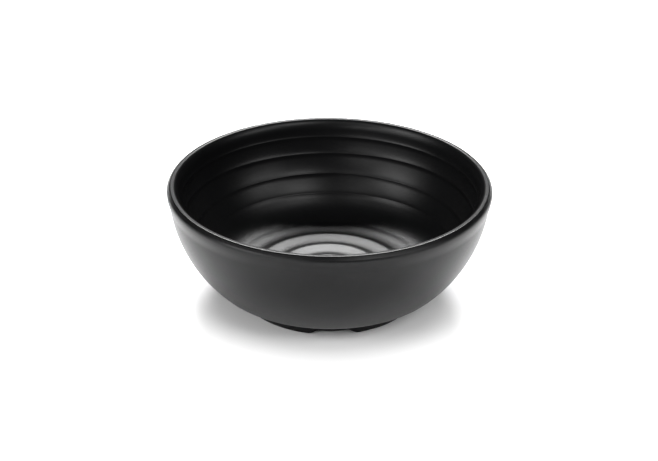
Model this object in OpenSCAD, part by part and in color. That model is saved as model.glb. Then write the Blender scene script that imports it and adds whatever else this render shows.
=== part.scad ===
// Tableware bowl, moulded in one piece from hard matte plastic.
// Deep round belly, rolled lip, soft finger rings round the inside wall, rippled floor
// and a slim foot ring with three shallow notches.
// Millimetres, +Z up. The origin is on the bowl's axis, at the height the foot rests on.
// The sections below are half profiles: x is the distance from the axis, y the height.

/* [Bowl] */
// Widest diameter, across the rim band
bowl_d = 160; // [150:1:190]
// Height from the resting plane to the lip
bowl_h = 61.4; // [60:0.2:64]
// Wall thickness near the floor
wall_t = 4.2; // [3.4:0.1:4.6]
// How much further in the wall stands at the lip
wall_flare = 0.8; // [0:0.1:1]
// Height of the eating surface above the resting plane
floor_h = 13.4; // [12.6:0.1:13.8]

/* [Rim] */
// How far the rim band stands proud of the belly
rim_swell = 0.85; // [0.2:0.05:1.4]
// How far the land's outer edge stands in from the widest line
lip_set = 2.25; // [1.8:0.05:2.6]
// Width of the narrow land along the top of the lip
lip_land = 0.6; // [0.4:0.1:1.2]
// Height of the long rounding inside the lip
bead_h = 6.2; // [5:0.1:6.4]

/* [Finger rings] */
// Number of rings round the inside wall
ring_n = 4; // [2:1:4]
// Depth of the first ring, as a share of the inner depth
ring_first = 0.183; // [0.17:0.001:0.185]
// Spacing of the rings, as a share of the inner depth
ring_gap = 0.19; // [0.15:0.002:0.19]
// How far each ring stands proud of the wall
ring_step = 0.5; // [0.2:0.05:0.8]

/* [Floor] */
// Radius of the crest of the widest ripple on the level floor
ripple_r = 36; // [34:0.1:39]
// Spacing of the ripples
ripple_gap = 11.4; // [8:0.2:14]
// Height of the ripples from trough to crest
ripple_h = 0.9; // [0.1:0.05:1]

/* [Foot ring] */
// Outer diameter of the foot ring where it rests
foot_d = 87.6; // [76:0.2:92]
// Width of the face the foot rests on
foot_w = 3.2; // [2.4:0.1:4.5]
// Height of the recess inside the foot ring
recess_h = 9; // [6:0.1:9.4]
// Number of notches in the foot ring
notch_n = 3; // [2:1:6]
// Length of a notch along the ring at the resting plane
notch_w = 24.6; // [10:0.2:26]
// Height of a notch
notch_h = 2.1; // [1:0.1:3]
// Direction of the first notch, from the front
notch_turn = 3; // [-60:1:60]

/* [Hidden] */

$fn = 128;                              // segments round the bowl
matte_black = [0.07, 0.07, 0.075];

// Shoulder: the widest line's rounding, a straight slope, then the rounding outside the land.
shoulder_a = 42;                        // slope of the shoulder, from level
shoulder_r = 2.5;                       // rounding at the widest line
edge_r = 1.2;                           // rounding outside the land
lip_out = bowl_d / 2 - lip_set;         // outer edge of the land
edge_p = [lip_out, bowl_h - edge_r];
turn_x = bowl_d / 2 - shoulder_r;
shoulder_w = turn_x + shoulder_r * cos(shoulder_a) - lip_out - edge_r * cos(shoulder_a);
wide_z = bowl_h - edge_r * (1 - sin(shoulder_a)) - shoulder_w / tan(shoulder_a)
    - shoulder_r * sin(shoulder_a);

// Belly: one arc from the underside's corner to the rim band.
belly_drop = 0.6;                       // centre of the arc below the lip
belly_r = 1.0945 * bowl_h;
belly_z = bowl_h - belly_drop;
belly_x = bowl_d / 2 - rim_swell - chord(belly_r, belly_z - wide_z);
band_z = bowl_h - 9.75;                 // where the rim band eases into the belly

// Corner between the belly and the underside, and the underside's slope.
corner_a = 44;                          // direction of the point where the two arcs meet
corner_r = 14;
under_a = 14;
corner_c = on_arc([belly_x, belly_z], belly_r - corner_r, corner_a);
under_p = on_arc(corner_c, corner_r, under_a);

// Foot ring.
foot_r = foot_d / 2;
foot_lean = 1.8;                        // how much wider the ring is at its root
foot_edge = 0.6;                        // rounding of the edges it rests on
root_r = foot_r + foot_lean;
root_z = under_p[1] - (under_p[0] - root_r) * tan(under_a);
foot_in = foot_r - foot_w;
recess_edge = 1.6;                      // rounding between the ring and the recess

// Inside wall and floor. The wall's arc is centred in and up from the belly's.
lip_in = lip_out - lip_land;
in_r = belly_r - wall_t;
wall_up = 1;                            // how far up the wall's arc is centred
in_c = [belly_x - wall_flare, belly_z + wall_up];
bead_a = 80;                            // the rounding inside the land stops short of upright
bead_z = bowl_h - bead_h * (1 - cos(bead_a));
bead_w = (lip_in - wall_pt(bead_z, 0)[0]) / sin(bead_a);
fillet_r = 22;                          // between the inside wall and the floor
fillet_a = asin(chord(in_r - fillet_r, in_c[1] - floor_h - fillet_r) / (in_r - fillet_r));
fillet_c = on_arc(in_c, in_r - fillet_r, fillet_a);
fillet_z = in_c[1] - in_r * cos(fillet_a);
nose_w = 2.6;                           // height over which a ring falls back to the wall
ring_sway = 0.75;                       // rings are spaced a little unevenly
ripple_end = 7;                         // the ripples end this far outside the fillet's start
ripple_fade = 6;                        // and die out over this
notch_slope = 5;                        // length of a notch's sloped end

// Half width of a circle of radius r at distance d from its centre.
function chord(r, d) = sqrt(r * r - d * d);
// Point of an arc, a degrees round from straight down.
function on_arc(c, r, a) = [c[0] + r * sin(a), c[1] - r * cos(a)];
function arc(c, r, from, to, n) = [for (i = [0:n]) on_arc(c, r, from + (to - from) * i / n)];
// Smooth step from 0 to 1.
function ease(t) = (1 - cos(180 * min(max(t, 0), 1))) / 2;
function mix(a, b, t) = a + (b - a) * t;

// Outside: resting face, foot ring, underside, belly, rim band, shoulder.
function foot_out() = concat(
    arc([foot_r - foot_edge, foot_edge], foot_edge, 0, 80, 4),
    [[root_r - 0.3, root_z - 1.2], [root_r, root_z - 0.4], [root_r + 0.8, root_z + 0.2]]
);
function belly_pt(z) = [
    belly_x + chord(belly_r, belly_z - z) + rim_swell * ease((z - band_z) / (wide_z - band_z)), z
];
function belly() =
    let (z0 = belly_z - belly_r * cos(corner_a))
    concat(
        arc(corner_c, corner_r, under_a, corner_a, 8),
        [for (i = [1:16]) belly_pt(mix(z0, band_z, i / 16))],
        [for (i = [1:8]) belly_pt(mix(band_z, wide_z, i / 8))]
    );
function shoulder() = concat(
    arc([turn_x, wide_z], shoulder_r, 96, 90 + shoulder_a, 5),
    arc(edge_p, edge_r, 90 + shoulder_a, 180, 5)
);

// Inside: rounded lip, ringed wall, fillet, rippled floor.
function wall_pt(z, proud) = [in_c[0] + chord(in_r, in_c[1] - z) - proud, z];
function lip() = [
    for (i = [0:10]) let (a = bead_a * i / 10)
        [lip_in - bead_w * sin(a), bowl_h - bead_h * (1 - cos(a))]
];
function ring_z(k) =
    bowl_h - (bowl_h - floor_h) * (ring_first + ring_gap * k) + ring_sway * sin(120 * k);
function ring_top(k) = k == 0 ? bead_z : ring_z(k - 1) - nose_w;
// A ring swells slowly, turns up sharply to its nose and falls back in a soft hollow.
function ring_rise(t) = ring_step * (pow(t, 2.5) + pow(t, 9)) / 2;
function rings() = [
    for (k = [0:ring_n - 1]) each concat(
        [for (i = [1:8]) let (t = sin(90 * i / 8))
            wall_pt(mix(ring_top(k), ring_z(k), t), ring_rise(t))],
        [for (i = [1:5]) wall_pt(ring_z(k) - nose_w * i / 5, ring_step * pow(1 - i / 5, 2))]
    )
];
function low_wall() =
    let (z0 = ring_top(ring_n), n = max(1, round((z0 - fillet_z) / 2.5)))
    [for (i = [1:n]) wall_pt(mix(z0, fillet_z, i / n), 0)];
function ripple(r) =
    ripple_h / 2 * cos(360 * (r - ripple_r) / ripple_gap)
    * ease(r / ripple_gap) * ease((fillet_c[0] + ripple_end - r) / ripple_fade);
function rippled(points) = [for (p = points) [p[0], p[1] + ripple(p[0])]];
function fillet() = rippled(arc(fillet_c, fillet_r, fillet_a, 3, 10));
function floor_line() =
    let (n = 40)
    rippled([for (i = [0:n]) [fillet_c[0] * (1 - i / n), floor_h]]);

// Recess inside the foot ring.
function recess() = concat(
    [[0, recess_h]],
    [for (a = [0:18:90]) [foot_in - 0.8 - recess_edge + recess_edge * sin(a),
                          recess_h - recess_edge + recess_edge * cos(a)]],
    arc([foot_in + foot_edge, foot_edge], foot_edge, -80, 0, 4)
);

module section() {
    polygon(concat(
        foot_out(),
        belly(),
        shoulder(),
        lip(),
        rings(),
        low_wall(),
        fillet(),
        floor_line(),
        recess()
    ));
}

// One notch: a shallow arch with soft ends, running out through the foot ring.
module notch() {
    steps = 6;
    past = 6;                           // the cutter runs this far past the ring on both sides
    half = notch_w / 2;
    rise = [for (i = [0:steps]) [notch_slope * i / steps, notch_h * ease(i / steps)]];
    outline = concat(
        [for (p = rise) [-half + p[0], p[1]]],
        [for (i = [steps:-1:0]) [half - rise[i][0], rise[i][1]]],
        [[half, -1], [-half, -1]]
    );
    translate([0, -foot_in + past, 0])
        rotate([90, 0, 0])
            linear_extrude(height = foot_w + foot_lean + 2 * past)
                polygon(outline);
}

module bowl() {
    color(matte_black)
        difference() {
            rotate_extrude() section();
            for (i = [0:notch_n - 1])
                rotate([0, 0, notch_turn + 360 / notch_n * i]) notch();
        }
}

bowl();
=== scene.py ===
"""Looks of the bowl: one fine mesh that stands for the CAD node, its finish, the light and the camera."""
import math

import bpy
import numpy as np
from mathutils import Matrix, Vector


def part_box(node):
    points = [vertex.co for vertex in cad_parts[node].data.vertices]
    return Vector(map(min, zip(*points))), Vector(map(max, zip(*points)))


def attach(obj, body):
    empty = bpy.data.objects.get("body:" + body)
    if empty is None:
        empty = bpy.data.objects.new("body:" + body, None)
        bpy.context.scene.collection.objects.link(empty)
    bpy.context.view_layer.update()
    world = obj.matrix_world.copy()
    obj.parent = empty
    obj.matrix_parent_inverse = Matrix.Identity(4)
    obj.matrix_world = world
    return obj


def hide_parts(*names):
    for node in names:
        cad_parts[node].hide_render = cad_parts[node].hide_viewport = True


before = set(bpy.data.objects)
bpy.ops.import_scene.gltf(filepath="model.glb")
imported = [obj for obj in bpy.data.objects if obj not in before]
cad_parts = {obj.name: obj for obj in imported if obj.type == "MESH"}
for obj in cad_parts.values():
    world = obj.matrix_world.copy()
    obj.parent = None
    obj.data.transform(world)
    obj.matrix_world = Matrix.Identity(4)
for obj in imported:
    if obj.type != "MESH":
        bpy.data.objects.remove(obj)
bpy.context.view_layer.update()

# ---------------------------------------------------------------- sizes, from the CAD node
lo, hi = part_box("bowl")
AXIS_X, AXIS_Y = (lo.x + hi.x) / 2, (lo.y + hi.y) / 2
BASE = lo.z
WIDE = min(hi.x - lo.x, hi.y - lo.y) / 2      # radius of the rim band
TALL = hi.z - lo.z
MM = TALL / 61.4                              # one millimetre of the design, in metres
KEEP_IN = 0.02                                # the mesh stays this far inside the CAD box, mm

AROUND = 320                                  # columns round the bowl


def ease(t):
    t = np.clip(t, 0, 1)
    return t * t * (3 - 2 * t)


def chord(r, d):
    return np.sqrt(np.maximum(r * r - d * d, 0))


# ---------------------------------------------------------------- half profile, in mm
H = 61.4 - KEEP_IN
WIDE_R = WIDE / MM - KEEP_IN
WIDE_Z = 58.6                                 # widest line, settled again once the shoulder is drawn
WALL = 4.2                                    # at the floor; the wall thickens towards the lip
WALL_IN, WALL_UP = 0.8, 1.0                   # the inner arc's centre, in and up from the outer one's
FLOOR = 13.4
BELLY_R, BELLY_Z = 67.2, 60.8
SWELL = 0.85
BELLY_X = WIDE_R - SWELL - chord(BELLY_R, BELLY_Z - WIDE_Z)
BAND_Z = 51.65                                # where the rim band eases into the belly
CORNER_A, CORNER_R, UNDER_A = map(float, (44, 14, 14))
IN_R = BELLY_R - WALL
FOOT_R, FOOT_W, FOOT_LEAN = 43.8, 3.2, 1.8
RECESS = 9.0
EDGE_OUT = 1.2                                # rounding outside the lip's land
SHOULDER_R = 2.5                              # rounding at the widest line
SHOULDER_A = 42.0                             # slope of the shoulder above it, from level
LIP_LAND = 0.6
LIP_SET = 2.25                                # the land's outer edge stands this far in from the widest line
LIP_OUT = WIDE_R - LIP_SET
BEAD_TALL, BEAD_JOIN = 6.2, 80.0              # elliptic rounding inside the land, and where it meets the wall
FILLET = 22.0

# azimuth: 0 at the back, growing towards +X
phi = np.linspace(0, 2 * np.pi, AROUND, endpoint=False)


def on_arc(cx, cz, r, a):
    a = np.radians(a)
    return cx + r * np.sin(a), cz - r * np.cos(a)


def wander(seed, size, order=5):
    """A smooth closed wander round the bowl, about size mm either way."""
    g = np.random.default_rng(seed)
    out = np.zeros(AROUND)
    for n in range(1, order + 1):
        out += g.normal() / n * np.cos(n * phi + g.uniform(0, 2 * np.pi))
    return out * size / max(np.abs(out).max(), 1e-9)


# rings: height, how proud, wander of the height, how much the ring fades round the bowl
RINGS = [
    (52.6, 0.40, 0.25, 0.35),
    (44.3, 0.50, 0.45, 0.30),
    (33.9, 0.50, 0.55, 0.30),
    (25.2, 0.45, 0.45, 0.35),
]
NOSE = 2.6                                    # height over which a ring falls back to the wall
BEAD_Z = H - BEAD_TALL * (1 - math.cos(math.radians(BEAD_JOIN)))


def proud(z):
    """How far the ringed wall stands in from the plain wall: z is (rows,), the result (rows, columns)."""
    total = np.zeros((len(z), AROUND))
    top = np.full(AROUND, BEAD_Z)
    for k, (height, step, sway, fade) in enumerate(RINGS):
        at = height + wander(20 + k, sway)
        amount = step * (1 - fade * (0.5 + wander(40 + k, 0.5, 4)))
        rise = np.clip((top[None, :] - z[:, None]) / (top - at)[None, :], 0, 1)
        fall = np.clip((at[None, :] - z[:, None]) / NOSE, 0, 1)
        total += amount[None, :] * (0.5 * rise ** 2.5 + 0.5 * rise ** 9) * (1 - fall) ** 2
        top = at - NOSE
    return total


IN_X, IN_Z = BELLY_X - WALL_IN, BELLY_Z + WALL_UP


def wall_r(z):
    return IN_X + chord(IN_R, IN_Z - z)


rows_r, rows_z, rows_lip, rows_well = [], [], [], []


def add(r, z, lip=0.0, well=0.0):
    """Adds rows to the profile, in mm: r and z are (rows,) or (rows, columns).

    lip and well steer the finish.
    """
    r, z = np.atleast_1d(np.asarray(r, float)), np.atleast_1d(np.asarray(z, float))
    r = np.repeat(r[:, None], AROUND, 1) if r.ndim == 1 else r
    z = np.repeat(z[:, None], AROUND, 1) if z.ndim == 1 else z
    rows_r.append(r)
    rows_z.append(z)
    for rows, value in ((rows_lip, lip), (rows_well, well)):
        rows.append(np.repeat(np.broadcast_to(value, len(r))[:, None], AROUND, 1))


# fillet between the floor and the wall
fa = math.degrees(math.asin(chord(IN_R - FILLET, IN_Z - FLOOR - FILLET) / (IN_R - FILLET)))
fx, fz = on_arc(IN_X, IN_Z, IN_R - FILLET, fa)
fillet_top = IN_Z - IN_R * math.cos(math.radians(fa))

# floor, from the axis out
RIPPLE_R, RIPPLE_GAP, RIPPLE_H = 36.0, 11.4, 0.9
RIPPLE_FALL = 0.4                             # share of the spacing over which a ripple falls away
RIPPLE_END, RIPPLE_FADE = 7, 6                # end, past the fillet's start, and the length they die out over
r = np.linspace(0.6, fx, 90)
drift = wander(3, 0.35, 3)
swell = 1 + wander(4, 0.2, 4)


def rippled(r, z):
    """Ripples that climb slowly outwards and fall away fast. They die out round the start of the fillet."""
    u = ((r[:, None] - RIPPLE_R - drift[None, :]) / RIPPLE_GAP) % 1
    v = np.clip((u - RIPPLE_FALL) / (1 - RIPPLE_FALL), 0, 1)
    climb = v * v - np.cos(np.pi * v) / 2 - 0.5
    wave = np.where(u < RIPPLE_FALL, np.cos(np.pi * u / RIPPLE_FALL), climb) * swell[None, :]
    amount = ease(r / RIPPLE_GAP) * ease((fx + RIPPLE_END - r) / RIPPLE_FADE)
    return z[:, None] + RIPPLE_H / 2 * wave * amount[:, None]


add(r, rippled(r, np.full(len(r), FLOOR)), well=1.0)
a = np.linspace(2, fa, 30)
x, z = on_arc(fx, fz, FILLET, a)
add(x, rippled(x, z), well=1 - ease(a / fa))

# wall
z = np.arange(fillet_top + 0.2, BEAD_Z, 0.2)
add(wall_r(z)[:, None] - proud(z), np.repeat(z[:, None], AROUND, 1))

# rolled bead, lip's land, shoulder. Slopes are counted from level, 90 is straight up.
edge_r = LIP_OUT - LIP_LAND
bead_wide = (edge_r - float(wall_r(BEAD_Z))) / math.sin(math.radians(BEAD_JOIN))
t = np.radians(np.linspace(BEAD_JOIN, 0, 40))
add(edge_r - bead_wide * np.sin(t), H - BEAD_TALL * (1 - np.cos(t)), ease((14 - np.degrees(t)) / 8))
t = np.radians(np.linspace(90, SHOULDER_A, 10))
add(LIP_OUT + EDGE_OUT * np.cos(t), H - EDGE_OUT + EDGE_OUT * np.sin(t), ease((np.degrees(t) - 60) / 25))
join_r = LIP_OUT + EDGE_OUT * math.cos(math.radians(SHOULDER_A))
join_z = H - EDGE_OUT + EDGE_OUT * math.sin(math.radians(SHOULDER_A))
turn_r = WIDE_R - SHOULDER_R * (1 - math.cos(math.radians(SHOULDER_A)))
turn_z = join_z - (turn_r - join_r) / math.tan(math.radians(SHOULDER_A))
t = np.linspace(0, 1, 6)[1:-1]
add(join_r + (turn_r - join_r) * t, join_z + (turn_z - join_z) * t)
t = np.radians(np.linspace(SHOULDER_A, 0, 14))
add(turn_r + SHOULDER_R * (np.cos(t) - math.cos(math.radians(SHOULDER_A))),
    turn_z - SHOULDER_R * (math.sin(math.radians(SHOULDER_A)) - np.sin(t)))
WIDE_Z = float(rows_z[-1][-1, 0])
BELLY_X = float(rows_r[-1][-1, 0]) - SWELL - chord(BELLY_R, BELLY_Z - WIDE_Z)

# rim band and belly
z = np.linspace(WIDE_Z, BAND_Z, 26)[1:]
add(BELLY_X + chord(BELLY_R, BELLY_Z - z) + SWELL * ease((z - BAND_Z) / (WIDE_Z - BAND_Z)), z)
z0 = BELLY_Z - BELLY_R * math.cos(math.radians(CORNER_A))
z = np.linspace(BAND_Z, z0, 50)[1:]
add(BELLY_X + chord(BELLY_R, BELLY_Z - z), z)
cx, cz = on_arc(BELLY_X, BELLY_Z, BELLY_R - CORNER_R, CORNER_A)
x, z = on_arc(cx, cz, CORNER_R, np.linspace(CORNER_A, UNDER_A, 14)[1:])
add(x, z)

# underside, foot ring with its notches, recess
ux, uz = float(x[-1]), float(z[-1])
root_r = FOOT_R + FOOT_LEAN
root_z = uz - (ux - root_r) * math.tan(math.radians(UNDER_A))
NOTCHES, NOTCH_TURN, NOTCH_W, NOTCH_H, NOTCH_SLOPE = 3, 3.0, 24.6, 2.1, 5.0
front = phi - np.pi                                            # 0 at the front, growing towards -X
turn = np.radians(NOTCH_TURN)
near = (-front - turn + np.pi / NOTCHES) % (2 * np.pi / NOTCHES) - np.pi / NOTCHES
along = np.abs(near) * FOOT_R
notch = NOTCH_H * ease((NOTCH_W / 2 - along) / NOTCH_SLOPE)


def foot(r, z):
    """Foot ring rows, lifted in the notches: the lift eases away towards the root."""
    z = np.atleast_1d(np.asarray(z, float))
    lift = notch[None, :] * (1 - ease(z / (root_z - 1)))[:, None]
    add(r, z[:, None] + lift)


add([root_r + 3.0, root_r + 1.4], [root_z + 3.0 * math.tan(math.radians(UNDER_A)), root_z + 0.42])
foot([root_r + 0.6, root_r + 0.1, root_r - 0.2], [root_z + 0.05, root_z - 0.5, root_z - 1.2])
t = np.linspace(0, 1, 10)[1:-1]
foot(root_r - 0.2 + (FOOT_R - root_r + 0.2) * t, (root_z - 1.2) * (1 - t) + 0.6 * t)
x, z = on_arc(FOOT_R - 0.6, 0.6, 0.6, np.linspace(88, 0, 6))
foot(x, z)
x, z = on_arc(FOOT_R - FOOT_W + 0.6, 0.6, 0.6, np.linspace(0, -88, 6))
foot(x, z)
t = np.linspace(0, 1, 8)[1:]
foot(FOOT_R - FOOT_W - 0.8 * t, 0.6 + (RECESS - 1.6 - 0.6) * t)
a = np.radians(np.linspace(75, 0, 6))
add(FOOT_R - FOOT_W - 0.8 - 1.6 + 1.6 * np.sin(a), RECESS - 1.6 + 1.6 * np.cos(a))
add(np.linspace(FOOT_R - FOOT_W - 4.2, 0.6, 24), np.full(24, RECESS))

R_ALL, Z_ALL, LIP_ALL, WELL_ALL = map(np.concatenate, (rows_r, rows_z, rows_lip, rows_well))


def bowl_mesh():
    """The closed surface: rows from the floor's centre over the lip and under to the recess's centre."""
    n = len(R_ALL)
    xs = AXIS_X + R_ALL * MM * np.sin(phi)[None, :]
    ys = AXIS_Y + R_ALL * MM * np.cos(phi)[None, :]
    zs = BASE + Z_ALL * MM
    verts = np.stack([xs, ys, zs], -1).reshape(-1, 3)
    top = (AXIS_X, AXIS_Y, BASE + float(Z_ALL[0].mean()) * MM)
    low = (AXIS_X, AXIS_Y, BASE + float(Z_ALL[-1].mean()) * MM)
    i = np.arange(n - 1)[:, None] * AROUND
    j = np.arange(AROUND)[None, :]
    k = (j + 1) % AROUND
    quads = np.stack([i + j, i + k, i + AROUND + k, i + AROUND + j], -1).reshape(-1, 4)
    a, b = len(verts), len(verts) + 1
    j = np.arange(AROUND)
    k = (j + 1) % AROUND
    cap = [(a, int(q), int(p)) for p, q in zip(j, k)]
    cup = [(b, int(p) + (n - 1) * AROUND, int(q) + (n - 1) * AROUND) for p, q in zip(j, k)]
    mesh = bpy.data.meshes.new("bowl_shell")
    mesh.from_pydata([*map(tuple, verts), top, low], [], [*map(tuple, quads.tolist()), *cap, *cup])
    mesh.validate()
    for name, values in (("lip", LIP_ALL), ("well", WELL_ALL)):
        steer = mesh.attributes.new(name, "FLOAT", "POINT")
        steer.data.foreach_set("value", np.append(values.ravel(), values[[0, -1], 0]).astype(np.float32))
    mesh.shade_smooth()
    mesh.update()
    return mesh


# ---------------------------------------------------------------- finish
def nodes_of(name):
    mat = bpy.data.materials.new(name)
    mat.use_nodes = True
    tree = mat.node_tree
    tree.nodes.clear()
    out = tree.nodes.new("ShaderNodeOutputMaterial")
    shader = tree.nodes.new("ShaderNodeBsdfPrincipled")
    tree.links.new(shader.outputs[0], out.inputs["Surface"])
    coords = tree.nodes.new("ShaderNodeTexCoord")
    return mat, tree, shader, coords


def noise(tree, coords, scale, detail=3.0, rough=0.55):
    n = tree.nodes.new("ShaderNodeTexNoise")
    n.inputs["Scale"].default_value = scale
    n.inputs["Detail"].default_value = detail
    n.inputs["Roughness"].default_value = rough
    tree.links.new(coords.outputs["Object"], n.inputs["Vector"])
    return n


def spread(tree, source, low, high, at=(0.3, 0.7)):
    m = tree.nodes.new("ShaderNodeMapRange")
    m.inputs["From Min"].default_value, m.inputs["From Max"].default_value = at
    m.inputs["To Min"].default_value, m.inputs["To Max"].default_value = low, high
    tree.links.new(source, m.inputs["Value"])
    return m.outputs["Result"]


def blend(tree, share, source, value):
    m = tree.nodes.new("ShaderNodeMix")
    m.data_type = "FLOAT"
    m.inputs["B"].default_value = value
    tree.links.new(share, m.inputs["Factor"])
    tree.links.new(source, m.inputs["A"])
    return m.outputs["Result"]


def matte_plastic():
    mat, tree, shader, coords = nodes_of("matte_black")
    cloud = noise(tree, coords, 60, 2)
    grain = noise(tree, coords, 1500, 2)
    fine = noise(tree, coords, 4200, 1)
    ramp = tree.nodes.new("ShaderNodeValToRGB")
    ramp.color_ramp.elements[0].color = (0.0022, 0.0022, 0.0024, 1)
    ramp.color_ramp.elements[1].color = (0.0040, 0.0040, 0.0043, 1)
    tree.links.new(cloud.outputs["Fac"], ramp.inputs["Fac"])
    tree.links.new(ramp.outputs["Color"], shader.inputs["Base Color"])
    rough = spread(tree, grain.outputs["Fac"], 0.31, 0.38)
    level = spread(tree, cloud.outputs["Fac"], 0.155, 0.165)
    for name, smooth, bright in (("well", 0.39, 0.52), ("lip", 0.24, 0.45)):
        steer = tree.nodes.new("ShaderNodeAttribute")
        steer.attribute_name = name
        rough = blend(tree, steer.outputs["Fac"], rough, smooth)
        level = blend(tree, steer.outputs["Fac"], level, bright)
    tree.links.new(rough, shader.inputs["Roughness"])
    tree.links.new(level, shader.inputs["Specular IOR Level"])
    add_h = tree.nodes.new("ShaderNodeMath")
    add_h.operation = "MULTIPLY_ADD"
    add_h.inputs[1].default_value = 0.5
    tree.links.new(fine.outputs["Fac"], add_h.inputs[0])
    tree.links.new(grain.outputs["Fac"], add_h.inputs[2])
    bump = tree.nodes.new("ShaderNodeBump")
    steer = tree.nodes.new("ShaderNodeAttribute")
    steer.attribute_name = "well"
    tree.links.new(spread(tree, steer.outputs["Fac"], 0.35, 0.9, (0, 1)), bump.inputs["Strength"])
    bump.inputs["Distance"].default_value = 0.00006
    tree.links.new(add_h.outputs[0], bump.inputs["Height"])
    tree.links.new(bump.outputs["Normal"], shader.inputs["Normal"])
    return mat


def pale_floor():
    mat, tree, shader, coords = nodes_of("pale_floor")
    n = noise(tree, coords, 3, 2)
    ramp = tree.nodes.new("ShaderNodeValToRGB")
    ramp.color_ramp.elements[0].color = (0.80, 0.80, 0.80, 1)
    ramp.color_ramp.elements[1].color = (0.82, 0.82, 0.82, 1)
    tree.links.new(n.outputs["Fac"], ramp.inputs["Fac"])
    tree.links.new(ramp.outputs["Color"], shader.inputs["Base Color"])
    shader.inputs["Roughness"].default_value = 0.9
    shader.inputs["Specular IOR Level"].default_value = 0.1
    return mat


shell = bpy.data.objects.new("bowl_shell", bowl_mesh())
bpy.context.scene.collection.objects.link(shell)
shell.data.materials.append(matte_plastic())
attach(shell, "root")
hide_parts("bowl")

# ---------------------------------------------------------------- stage
SIDE = 6.0
floor_mesh = bpy.data.meshes.new("floor")
floor_mesh.from_pydata(
    [(-SIDE, -SIDE, BASE), (SIDE, -SIDE, BASE), (SIDE, SIDE, BASE), (-SIDE, SIDE, BASE)], [], [(0, 1, 2, 3)]
)
floor = bpy.data.objects.new("floor", floor_mesh)
bpy.context.scene.collection.objects.link(floor)
floor.data.materials.append(pale_floor())

world = bpy.data.worlds.new("studio")
bpy.context.scene.world = world
world.use_nodes = True
world.node_tree.nodes["Background"].inputs["Color"].default_value = (1, 1, 1, 1)
world.node_tree.nodes["Background"].inputs["Strength"].default_value = 0.01


def panel(name, azimuth, elevation, half, radiance, wide=15, distance=1.6, aim_z=0.03):
    """A soft panel: half and wide are half its height and width, in degrees. Azimuth 0 is the camera side."""
    a, e = math.radians(azimuth), math.radians(elevation)
    at = Vector((math.sin(a) * math.cos(e), -math.cos(a) * math.cos(e), math.sin(e))) * distance
    aim = Vector((AXIS_X, AXIS_Y, BASE + aim_z))
    light = bpy.data.lights.new(name, "AREA")
    light.shape = "RECTANGLE"
    light.size = 2 * distance * math.tan(math.radians(wide)) * math.cos(e)
    light.size_y = 2 * distance * math.tan(math.radians(half))
    light.energy = radiance * math.pi * light.size * light.size_y
    lamp = bpy.data.objects.new(name, light)
    bpy.context.scene.collection.objects.link(lamp)
    lamp.location = aim + at
    lamp.rotation_mode = "QUATERNION"
    lamp.rotation_quaternion = (-at).to_track_quat("-Z", "Y")
    return lamp


panel("left_low", -60, 10, 8, 5.5)
panel("left", -60, 26, 8, 11)
panel("left_near", -30, 10, 8, 5.2)
panel("left_high", -30, 42, 8, 3.2)
panel("right_high", 30, 42, 8, 9.7)
panel("right", 60, 26, 8, 6.2)
panel("right_top", 60, 42, 8, 2)
panel("back_low", 180, 18, 10, 1.1)
panel("back", 180, 46, 5.5, 22, wide=26)
panel("back_high", 180, 53, 3, 20, wide=26)

# a wide square panel overhead, which lights only the pale floor
ABOVE_HALF, ABOVE_RADIANCE = 30, 4.8
above = panel("above", 0, 90, ABOVE_HALF, ABOVE_RADIANCE)
above.data.size = above.data.size_y
above.data.energy = ABOVE_RADIANCE * math.pi * above.data.size ** 2
lit = bpy.data.collections.new("lit_from_above")
lit.objects.link(floor)
above.light_linking.receiver_collection = lit

# ---------------------------------------------------------------- camera
camera_data = bpy.data.cameras.new("camera")
camera_data.sensor_width = 36
camera_data.lens = 100.8
camera = bpy.data.objects.new("camera", camera_data)
bpy.context.scene.collection.objects.link(camera)
DISTANCE = 904.04 * MM                        # from the lip's centre
ELEVATION, LOWER, PAN, ROLL = 25.71, 1.52, 0.010, 0.404
e = math.radians(ELEVATION)
rim = Vector((AXIS_X, AXIS_Y, BASE + TALL))
camera.location = rim + Vector((0, -math.cos(e), math.sin(e))) * DISTANCE
look, pan = math.radians(ELEVATION + LOWER), math.radians(PAN)
forward = Vector((-math.sin(pan) * math.cos(look), math.cos(pan) * math.cos(look), -math.sin(look)))
camera.rotation_mode = "QUATERNION"
roll = Matrix.Rotation(math.radians(ROLL), 4, "Z").to_quaternion()
camera.rotation_quaternion = forward.to_track_quat("-Z", "Y") @ roll
bpy.context.scene.camera = camera
bpy.context.scene.view_settings.view_transform = "Standard"
